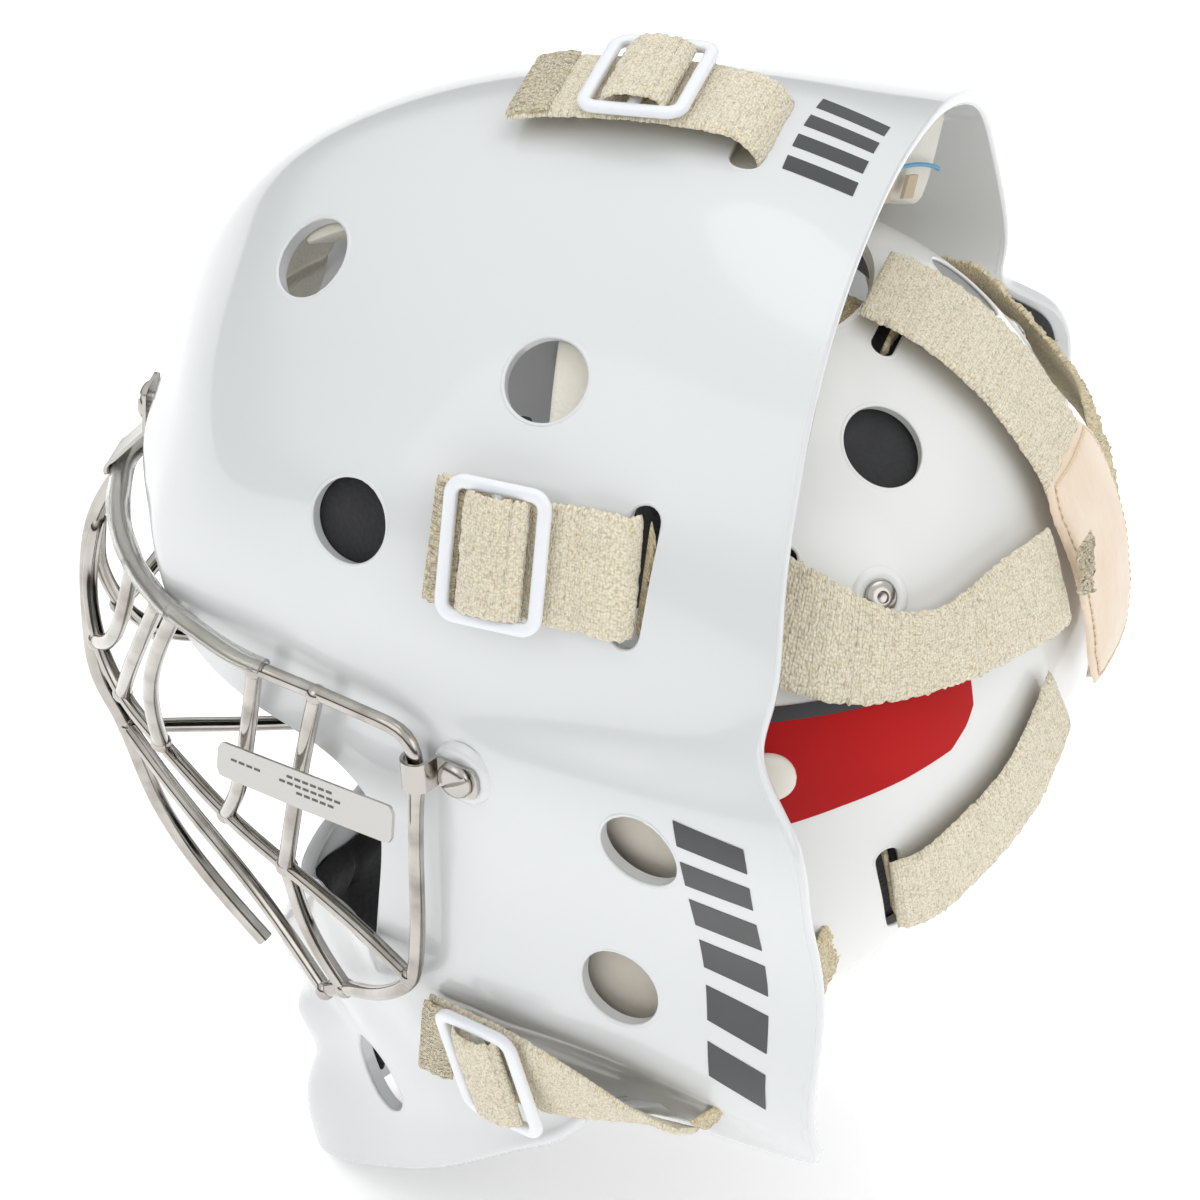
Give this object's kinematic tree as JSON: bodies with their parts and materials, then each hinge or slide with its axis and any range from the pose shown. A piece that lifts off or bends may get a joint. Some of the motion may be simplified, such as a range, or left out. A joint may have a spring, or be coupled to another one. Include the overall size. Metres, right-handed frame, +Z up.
{
  "type": "goalie mask",
  "caption": "Hard-shell ice-hockey goalie mask: one-piece shell with a welded wire cage, a sprung backplate held by an elastic strap harness, and strap adjusters.",
  "frame": {"origin": "middle of the wearer's head, where the head holds the mask up", "axes": "+X to the wearer's left, -Y the way the face looks, +Z up, with the mask as it is worn"},
  "size_m": [0.2634, 0.2696, 0.3283],
  "materials": {
    "shell": "gloss",
    "plate": "gloss",
    "wire": "polished",
    "steel": "polished",
    "label": "satin",
    "clear": "gloss",
    "strap": "matt",
    "slider": "gloss",
    "pad": "matt",
    "foam": "matt",
    "patch": "matt",
    "red": "satin"
  },
  "bodies": {
    "mask": {"mask_shell": "shell", "crown_pad": "pad", "forehead_pad": "pad", "temple_pad_L": "foam", "temple_pad_R": "foam", "cheek_pad_L": "foam", "cheek_pad_R": "foam", "chin_pad": "foam", "cage": "wire", "cage_label_plate": "label", "cage_sleeve": "clear", "cage_clip_L": "steel", "cage_screw_L": "steel", "tee_nut_L": "steel", "cage_clip_R": "steel", "cage_screw_R": "steel", "tee_nut_R": "steel", "cage_clip_top": "steel", "cage_screw_top": "steel", "tee_nut_top": "steel", "crown_strap": "strap", "temple_strap_L": "strap", "chin_strap_L": "strap", "temple_strap_R": "strap", "chin_strap_R": "strap"},
    "backplate": {"backplate": "plate", "backplate_pad": "foam", "backplate_screw_L": "steel", "backplate_screw_R": "steel", "backplate_sticker": "red", "harness_top": "strap", "harness_mid_L": "strap", "harness_mid_R": "strap", "harness_low_L": "strap", "harness_low_R": "strap", "harness_patch": "patch"},
    "adjuster_crown": {"slider_crown": "slider", "strap_loop_crown": "strap"},
    "adjuster_temple_L": {"slider_temple_L": "slider", "strap_loop_temple_L": "strap"},
    "adjuster_temple_R": {"slider_temple_R": "slider", "strap_loop_temple_R": "strap"},
    "adjuster_chin_L": {"slider_chin_L": "slider", "strap_loop_chin_L": "strap"},
    "adjuster_chin_R": {"slider_chin_R": "slider", "strap_loop_chin_R": "strap"}
  },
  "joints": [
    {"name": "backplate_slide", "type": "slide", "parent": "mask", "child": "backplate", "axis": [0, 1, 0], "range_m": [0, 0.025], "stiffness_N_per_m": 300, "springref_m": -0.01},
    {"name": "adjuster_crown_slide", "type": "slide", "parent": "mask", "child": "adjuster_crown", "axis": [0, 0.9982, 0.0599], "range_m": [-0.004, 0.004]},
    {"name": "adjuster_temple_L_slide", "type": "slide", "parent": "mask", "child": "adjuster_temple_L", "axis": [0.1414, 0.9897, 0.0235], "range_m": [-0.004, 0.004]},
    {"name": "adjuster_temple_R_slide", "type": "slide", "parent": "mask", "child": "adjuster_temple_R", "axis": [-0.1414, 0.9897, 0.0235], "range_m": [-0.004, 0.004]},
    {"name": "adjuster_chin_L_slide", "type": "slide", "parent": "mask", "child": "adjuster_chin_L", "axis": [0.4096, 0.9121, 0.018], "range_m": [-0.004, 0.004]},
    {"name": "adjuster_chin_R_slide", "type": "slide", "parent": "mask", "child": "adjuster_chin_R", "axis": [-0.4096, 0.9121, 0.018], "range_m": [-0.004, 0.004]}
  ]
}
